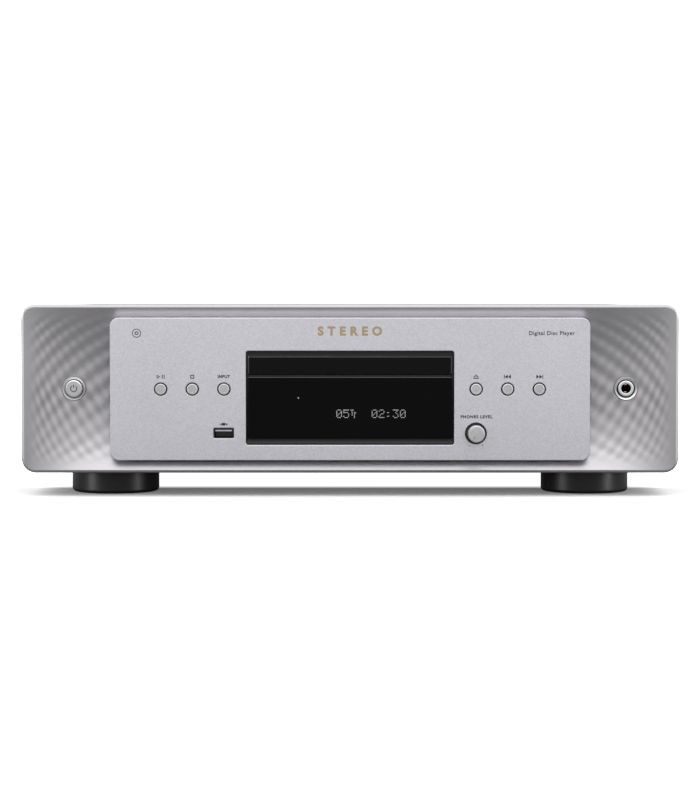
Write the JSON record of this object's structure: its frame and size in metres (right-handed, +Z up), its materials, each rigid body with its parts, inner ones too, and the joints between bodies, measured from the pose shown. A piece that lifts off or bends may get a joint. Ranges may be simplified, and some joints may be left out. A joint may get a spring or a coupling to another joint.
{
  "type": "cd player",
  "caption": "Full-width hi-fi disc player: dished silver front, floating centre plate with dark window, sliding tray, belt-driven loader, tilting traverse, round feet.",
  "frame": {"origin": "on the surface the feet stand on, at the middle of the overall width and depth", "axes": "+X to the viewer's right as the front is seen, -Y out of the front, +Z up"},
  "size_m": [0.442, 0.431, 0.129],
  "materials": {
    "silver_metal": "fine satin with a soft lavender cast",
    "plated_steel": "zinc plated sheet",
    "bright_metal": "polished",
    "gloss_black": "glossy smoked",
    "black_plastic": "moulded matte",
    "painted_black": "powder coat",
    "rubber_black": "matte",
    "grey_plastic": "moulded matte",
    "white_plastic": "acetal",
    "circuit_board": "solder mask",
    "winding": "varnished copper under tape",
    "lens": "coated"
  },
  "bodies": {
    "body": {"front_panel": "silver_metal", "centre_plate": "silver_metal", "power_bezel": "silver_metal", "phones_bezel": "silver_metal", "bottom_chassis": "plated_steel", "front_subframe": "plated_steel", "loader_bracket_left": "plated_steel", "loader_bracket_right": "plated_steel", "clamper_bridge": "plated_steel", "phones_jack": "bright_metal", "usb_socket": "bright_metal", "loading_motor": "bright_metal", "display_window": "gloss_black", "plate_carrier": "black_plastic", "display_module": "black_plastic", "loader_base": "black_plastic", "ac_inlet": "black_plastic", "analog_jacks": "black_plastic", "digital_jacks": "black_plastic", "top_cover": "painted_black", "rear_panel": "painted_black", "cover_screw_left_front": "painted_black", "cover_screw_left_rear": "painted_black", "cover_screw_right_front": "painted_black", "cover_screw_right_rear": "painted_black", "foot_front_left": "rubber_black", "foot_front_right": "rubber_black", "foot_rear_left": "rubber_black", "foot_rear_right": "rubber_black", "drive_belt": "rubber_black", "level_potentiometer": "grey_plastic", "control_board": "circuit_board", "power_board": "circuit_board", "audio_board": "circuit_board", "power_transformer": "winding"},
    "tray": {"disc_tray": "black_plastic", "tray_door": "gloss_black"},
    "drive_gear": {"tray_drive_gear": "white_plastic"},
    "pulley_gear": {"pulley_gear": "white_plastic"},
    "motor_pulley": {"motor_pulley": "white_plastic"},
    "cam": {"cam_slider": "white_plastic"},
    "traverse": {"traverse_frame": "grey_plastic", "spindle_motor": "bright_metal", "guide_rod_left": "bright_metal", "guide_rod_right": "bright_metal", "sled_motor": "bright_metal"},
    "turntable": {"turntable": "grey_plastic"},
    "clamper": {"disc_clamper": "grey_plastic"},
    "pickup": {"optical_pickup": "black_plastic"},
    "lens": {"objective_lens": "lens"},
    "feed_gear": {"feed_gear": "white_plastic"},
    "sled_pinion": {"sled_pinion": "white_plastic"},
    "power_button": {"power_button": "silver_metal"},
    "level_knob": {"level_knob": "silver_metal"},
    "play_pause_button": {"play_pause_button": "silver_metal"},
    "stop_button": {"stop_button": "silver_metal"},
    "input_button": {"input_button": "silver_metal"},
    "open_close_button": {"open_close_button": "silver_metal"},
    "previous_button": {"previous_button": "silver_metal"},
    "next_button": {"next_button": "silver_metal"}
  },
  "joints": [
    {"name": "tray_slide", "type": "slide", "parent": "body", "child": "tray", "axis": [0, -1, 0], "range_m": [0, 0.138]},
    {"name": "drive_gear_spin", "type": "hinge", "parent": "body", "child": "drive_gear", "pos_m": [0.04, -0.171, 0.08165], "axis": [0, 0, 1], "range_deg": [-661, 2]},
    {"name": "pulley_gear_spin", "type": "hinge", "parent": "body", "child": "pulley_gear", "pos_m": [0.022, -0.171, 0.077], "axis": [0, 0, 1], "range_deg": [-2, 1320]},
    {"name": "motor_pulley_spin", "type": "hinge", "parent": "body", "child": "motor_pulley", "pos_m": [-0.014, -0.173, 0.0748], "axis": [0, 0, 1], "range_deg": [-2, 4120]},
    {"name": "cam_slide", "type": "slide", "parent": "body", "child": "cam", "axis": [1, 0, 0], "range_m": [0, 0.024]},
    {"name": "traverse_tilt", "type": "hinge", "parent": "body", "child": "traverse", "pos_m": [0, -0.047, 0.074], "axis": [1, 0, 0], "range_deg": [-0.05, 4.46]},
    {"name": "turntable_spin", "type": "hinge", "parent": "traverse", "child": "turntable", "pos_m": [0, -0.13, 0.074], "axis": [0, 0, 1], "continuous": true},
    {"name": "clamper_spin", "type": "hinge", "parent": "body", "child": "clamper", "pos_m": [0, -0.13, 0.097], "axis": [0, 0, 1], "continuous": true},
    {"name": "pickup_slide", "type": "slide", "parent": "traverse", "child": "pickup", "axis": [0, 1, 0], "range_m": [-0.001, 0.033]},
    {"name": "feed_gear_spin", "type": "hinge", "parent": "traverse", "child": "feed_gear", "pos_m": [0.0366, -0.084, 0.0795], "axis": [0, 0, 1], "range_deg": [-199, 8]},
    {"name": "sled_pinion_spin", "type": "hinge", "parent": "traverse", "child": "sled_pinion", "pos_m": [0.0366, -0.0976, 0.0795], "axis": [0, 0, 1], "range_deg": [-16, 475]},
    {"name": "lens_focus", "type": "slide", "parent": "pickup", "child": "lens", "axis": [0, 0, 1], "range_m": [-0.0006, 0.0006], "stiffness_N_per_m": 40},
    {"name": "level_knob_turn", "type": "hinge", "parent": "body", "child": "level_knob", "pos_m": [0.0845, -0.2055, 0.0428], "axis": [0, 1, 0], "range_deg": [0, 300]},
    {"name": "play_pause_button_press", "type": "slide", "parent": "body", "child": "play_pause_button", "axis": [0, 1, 0], "range_m": [0, 0.0008], "stiffness_N_per_m": 900, "springref_m": -0.0005},
    {"name": "stop_button_press", "type": "slide", "parent": "body", "child": "stop_button", "axis": [0, 1, 0], "range_m": [0, 0.0008], "stiffness_N_per_m": 900, "springref_m": -0.0005},
    {"name": "input_button_press", "type": "slide", "parent": "body", "child": "input_button", "axis": [0, 1, 0], "range_m": [0, 0.0008], "stiffness_N_per_m": 900, "springref_m": -0.0005},
    {"name": "open_close_button_press", "type": "slide", "parent": "body", "child": "open_close_button", "axis": [0, 1, 0], "range_m": [0, 0.0008], "stiffness_N_per_m": 900, "springref_m": -0.0005},
    {"name": "previous_button_press", "type": "slide", "parent": "body", "child": "previous_button", "axis": [0, 1, 0], "range_m": [0, 0.0008], "stiffness_N_per_m": 900, "springref_m": -0.0005},
    {"name": "next_button_press", "type": "slide", "parent": "body", "child": "next_button", "axis": [0, 1, 0], "range_m": [0, 0.0008], "stiffness_N_per_m": 900, "springref_m": -0.0005},
    {"name": "power_button_press", "type": "slide", "parent": "body", "child": "power_button", "axis": [0, 1, 0], "range_m": [0, 0.001], "stiffness_N_per_m": 900, "springref_m": -0.0005}
  ],
  "couplings": [
    {"joint": "drive_gear_spin", "follows": "tray_slide", "rad_per_m": -83.333},
    {"joint": "pulley_gear_spin", "follows": "tray_slide", "rad_per_m": 166.67},
    {"joint": "motor_pulley_spin", "follows": "tray_slide", "rad_per_m": 520.83},
    {"joint": "traverse_tilt", "follows": "cam_slide", "rad_per_m": 3.2083},
    {"joint": "clamper_spin", "follows": "turntable_spin", "ratio": 1},
    {"joint": "feed_gear_spin", "follows": "pickup_slide", "rad_per_m": -104.17},
    {"joint": "sled_pinion_spin", "follows": "pickup_slide", "rad_per_m": 250}
  ]
}
